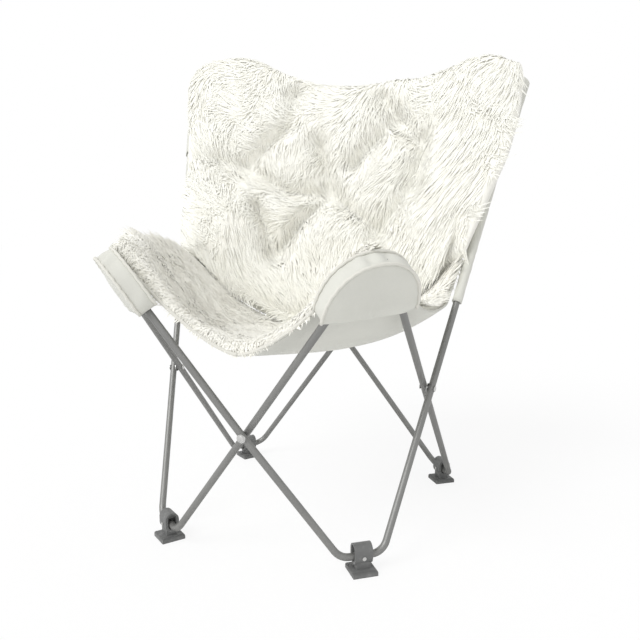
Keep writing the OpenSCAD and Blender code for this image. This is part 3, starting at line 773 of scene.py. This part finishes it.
def front_pocket(side, word):
    at, x, y, z, own = cap_axes(side, 0)
    toward = -1.0 if z[1] > 0 else 1.0
    outline = dome(pocket_top - 0.0022, pocket_half, pocket_l + 0.0022, 2.15)
    middle = np.array([outline[:, 0].max(), 0.0])
    turn = np.arange(len(outline))
    shells = {}
    for which, z_of in (("face", toward), ("rear", -toward)):
        rings = []
        for share in np.linspace(0, 1, 17):
            ring = middle + (outline - middle) * share
            fill = (1 - share ** 2.4) * (0.006 if which == "face" else 0.002)
            pucker = (0.0006 * np.sin(turn * 1.9) * share ** 6
                      + 0.0050 * np.sin(share * 7 + turn * 0.23) * share * (1 - share))
            height = z_of * (pocket_t / 2 + fill) + pucker
            rings.append(at + ring[:, :1] * x + ring[:, 1:] * y + height[:, None] * z)
        shells[which] = np.array(rings)
    face, rear = shells["face"], shells["rear"]
    t = np.linspace(0, 1, 7)[:, None, None]
    wrinkle = np.sin(t[:, :, 0] * pi) * 0.0028 * np.sin(turn * 0.55 + 3 * np.sin(turn * 0.21))[None]
    outward = unit(np.stack([outline[:, 0] - middle[0], outline[:, 1]], -1))
    outward = outward[:, :1] * x + outward[:, 1:] * y
    band = face[-1] * (1 - t) + rear[-1] * t + wrinkle[..., None] * outward
    sheet = np.concatenate([face, band[1:-1], rear[::-1]])
    thick = 0.0011
    inner = sheet - normal_rows(sheet, z * toward) * thick
    piece = skin("pocket_front_" + word + "_cloth", inner, sheet, canvas,
                 np.stack(np.meshgrid(np.linspace(0, 0.25, sheet.shape[1]),
                                      np.linspace(0, 0.22, sheet.shape[0])), -1))
    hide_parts("pocket_front_" + word)
    beads = [cord_along("pocket_front_%s_piping_%s" % (word, edge), shell[-1] + outward * 0.0008,
                        0.0024, binding)
             for edge, shell in (("outer", rear), ("inner", face))]
    return [piece] + beads


def normal_rows(sheet, facing):
    n = unit(np.cross(np.gradient(sheet, axis=1), np.gradient(sheet, axis=0)))
    return n * np.sign(np.sum(n[2, n.shape[1] // 2] * facing))


front_pockets = {word: front_pocket(side, word) for side, word in ((1, "right"), (-1, "left"))}

# %% [markdown]
# ## Back pockets
# A back tip's pocket is hidden behind the fur. It is a flat canvas bag over the cap, open
# below, and a narrow sleeve runs on from it down the tube. Both are thin skins between an
# inner and an outer surface, and slack cloth puckers, so a slow ripple moves the outside.

# %% back pockets and their sleeves
cap_run_on, cap_low, cap_round, loose_room = 0.047, 0.086, 0.0117, 0.0075
bag_half, sleeve_from = 0.0149, 0.074
sleeve_to = {"right": 0.440, "left": 0.320}


def loop(mid, half_y, half_z, power, count=40):
    a = np.linspace(0, 2 * pi, count + 1)
    return np.stack([mid + half_y * np.sign(np.cos(a)) * np.abs(np.cos(a)) ** power,
                     half_z * np.sign(np.sin(a)) * np.abs(np.sin(a)) ** power], -1)


def back_pocket(side, word):
    at, x, y, z, own = cap_axes(side, 1)
    slope = np.tan(np.arccos(own @ x))
    top = np.array([-cap_run_on * own @ x, cap_run_on * np.sqrt(1 - (own @ x) ** 2)])
    foot = np.array([cap_low, cap_low * slope + loose_room * np.hypot(1, slope)])
    grade = (foot[1] - top[1]) / (foot[0] - top[0])
    layers = {}
    for name, less in (("outer", 0.0), ("inner", 0.0012)):
        rows = []
        reach = cap_round - less
        for share in np.linspace(0, 1, 30):
            x_at = top[0] - reach + (cap_low - top[0] + reach) * share ** 1.3
            low = -x_at * slope - reach * np.hypot(1, slope)
            high = top[1] + grade * (x_at - top[0]) + reach * np.hypot(1, grade)
            end = np.sqrt(max(reach ** 2 - max(top[0] - x_at, 0) ** 2, 1e-8))
            if x_at < top[0]:
                low, high = top[1] - end, top[1] + end
            flat_half = (bag_half - less) * min(1, end / reach + 0.02)
            ring = loop((low + high) / 2, (high - low) / 2, flat_half, 0.4)
            rows.append(at + x * x_at + ring[:, :1] * y + ring[:, 1:] * z)
        layers[name] = np.array(rows)
    outer = layers["outer"]
    pucker = ripple(outer, 60.0, 31) * 0.0010 * np.linspace(0, 1, 30)[:, None]
    outer = outer + unit(outer - outer.mean(1, keepdims=True)) * np.maximum(pucker, -0.0006)[..., None]
    bag = skin("pocket_back_" + word + "_cloth", layers["inner"], outer, canvas,
               np.stack(np.meshgrid(np.linspace(0, 0.16, 41), np.linspace(0, 0.14, 30)), -1))
    steps = np.linspace(sleeve_from, sleeve_to[word], 60)
    first = unit(np.cross(own, [0.2, 0.1, 0.97]))
    second = np.cross(own, first)
    a = np.linspace(0, 2 * pi, 25)
    round_it = first * np.cos(a)[:, None] + second * np.sin(a)[:, None]
    core = at + own * steps[:, None, None]
    inner = core + round_it * 0.0067
    slack = 0.0022 + ripple(core + round_it * 0.009, 70.0, 33) * 0.0008
    sleeve = skin("pocket_back_" + word + "_sleeve", inner, inner + round_it * slack[..., None], canvas,
                  np.stack(np.meshgrid(np.linspace(0, 0.055, 25), steps), -1))
    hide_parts("pocket_back_" + word)
    return [bag, sleeve]


back_pockets = {word: back_pocket(side, word) for side, word in ((1, "right"), (-1, "left"))}

# %% [markdown]
# ## Piping along the front edge
# The seat's front edge is bound with a piping that catches the light. It runs from the
# middle line up to each pocket, just in front of the canvas.

# %% edge piping
def edge_piping(side, word):
    u = side * np.linspace(0.0024, 0.9, 60)
    edge = np.zeros(60)
    at = sling(u, edge)
    out = unit(at - sling(u, edge + 0.02))
    piece = cord_along("seat_piping_" + word, at + out * 0.0033 + normal_of(sling, u, edge) * 0.0011,
                       0.003, binding)
    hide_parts("piping_" + word)
    return piece


seat_piping = {word: edge_piping(side, word) for side, word in ((1, "right"), (-1, "left"))}

# %% [markdown]
# ## What moves with what
# Each soft piece rides on the body that carries its solid. When the frame folds, the real
# sling bunches up, but here the pads and their cloth only ride along with their bodies.

# %% riding on the bodies
back_group = [back_pad, back_canvas, fringe_locks] + back_locks
for piece in back_group:
    0.16 if piece == fringe_locks else 0.3
    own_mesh(piece)
    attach(piece, "cover_back")
for side in ("right", "left"):
    for piece in [seat_pad[side], seat_locks[side], seat_canvas[side], seat_piping[side]] + rim_locks[side]:
        "seat_%s_fold" % side
        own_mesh(piece)
        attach(piece, "cover_seat_" + side)
for side, word in ((1, "right"), (-1, "left")):
    middle = tuple(cap_axes(side, 0)[0])
    for piece in front_pockets[word]:
        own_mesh(piece)
        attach(piece, "back_%s_side" % word)
    for piece in back_pockets[word]:
        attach(piece, "front_%s_side" % word)

# %% [markdown]
# ## Camera, floor and light
# The camera stands where the photographer stood, a little to the chair's right and just
# above its wings. The floor is plain and pale, and the light is a soft dome with one broad
# lamp from the upper left, so that colours render about as they are written.

# %% camera
lens = bpy.data.cameras.new("camera")
lens.lens, lens.sensor_width = 37.27, 36.0
camera = bpy.data.objects.new("camera", lens)
camera.location = (0.456, -1.150, 0.552)
camera.rotation_euler = (radians(82.1), 0, radians(19.68))
bpy.context.scene.collection.objects.link(camera)
bpy.context.scene.camera = camera

# %% floor
floor_mesh = bpy.data.meshes.new("floor")
reach = 14.0
floor_mesh.from_pydata([(-reach, -reach, 0), (reach, -reach, 0), (reach, reach, 0), (-reach, reach, 0)],
                       [], [(0, 1, 2, 3)])
floor = bpy.data.objects.new("floor", floor_mesh)
floor.location.z = -0.0002
bpy.context.scene.collection.objects.link(floor)
floor_paper = Finish("floor_paper", Roughness=0.9)
floor_paper.shader.inputs["Base Color"].default_value = shade(0.97, 0.97, 0.97)
seen = floor_paper.node("ShaderNodeLightPath")
glow = floor_paper.node("ShaderNodeEmission", {"Color": shade(1, 1, 1), "Strength": 1.0})
lit = Value(floor_paper, floor_paper.shader.outputs[0])
paper = floor_paper.node("ShaderNodeMixShader", {0: seen * 0.86, 1: lit, 2: glow})
floor_paper.feed(floor_paper.tree.nodes["Material Output"].inputs["Surface"], paper)
floor_mesh.materials.append(floor_paper.material)

# %% light
world = bpy.data.worlds.new("studio")
bpy.context.scene.world = world
world.use_nodes = True
sky = world.node_tree
sky_path = sky.nodes.new("ShaderNodeLightPath")
room, paper_white = sky.nodes.new("ShaderNodeBackground"), sky.nodes.new("ShaderNodeBackground")
room.inputs[0].default_value, room.inputs[1].default_value = shade(1, 1, 1), 0.68
paper_white.inputs[0].default_value, paper_white.inputs[1].default_value = shade(1, 1, 1), 1.0
either = sky.nodes.new("ShaderNodeMath")
either.operation = "MAXIMUM"
sky.links.new(sky_path.outputs["Is Camera Ray"], either.inputs[0])
sky.links.new(sky_path.outputs["Is Glossy Ray"], either.inputs[1])
mixed = sky.nodes.new("ShaderNodeMixShader")
sky.links.new(either.outputs[0], mixed.inputs[0])
sky.links.new(room.outputs[0], mixed.inputs[1])
sky.links.new(paper_white.outputs[0], mixed.inputs[2])
sky.links.new(mixed.outputs[0], sky.nodes["World Output"].inputs["Surface"])

lamp = bpy.data.lights.new("broad_lamp", "SUN")
lamp.energy, lamp.angle = 1.62, radians(30)
lamp_stand = bpy.data.objects.new("broad_lamp", lamp)
lamp_stand.rotation_euler = (radians(44), radians(-17), radians(-12))
bpy.context.scene.collection.objects.link(lamp_stand)
bpy.context.scene.view_settings.view_transform = "Standard"
